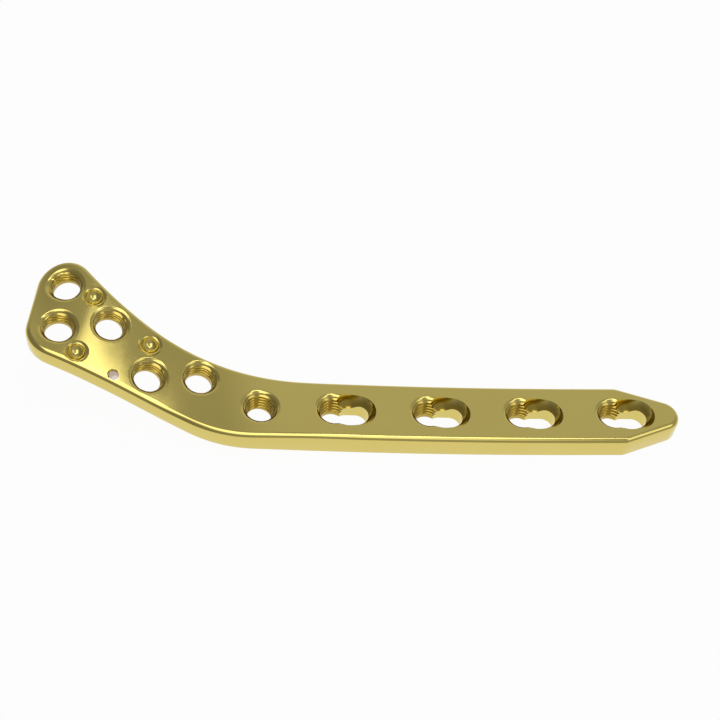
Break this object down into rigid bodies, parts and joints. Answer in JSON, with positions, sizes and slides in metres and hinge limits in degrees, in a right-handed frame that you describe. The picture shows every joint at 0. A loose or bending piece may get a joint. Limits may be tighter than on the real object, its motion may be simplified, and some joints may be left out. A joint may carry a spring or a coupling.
{
  "type": "orthopedic bone plate",
  "caption": "Polished gold-coloured locking plate for the upper shin bone, with a bent head, a long shaft with a pointed tip, threaded round holes and combination holes.",
  "frame": {"origin": "axis of the threaded end of the combination hole nearest the tip, on the plane of the shaft's bone side", "axes": "+X along the shaft to the pointed tip, +Y to the side that the head bends to, +Z out from the bone"},
  "size_m": [0.1373, 0.0366, 0.0192],
  "materials": {
    "anodised_titanium": "polished titanium, anodised gold"
  },
  "bodies": {
    "root": {"bone_plate": "anodised_titanium"}
  },
  "joints": []
}
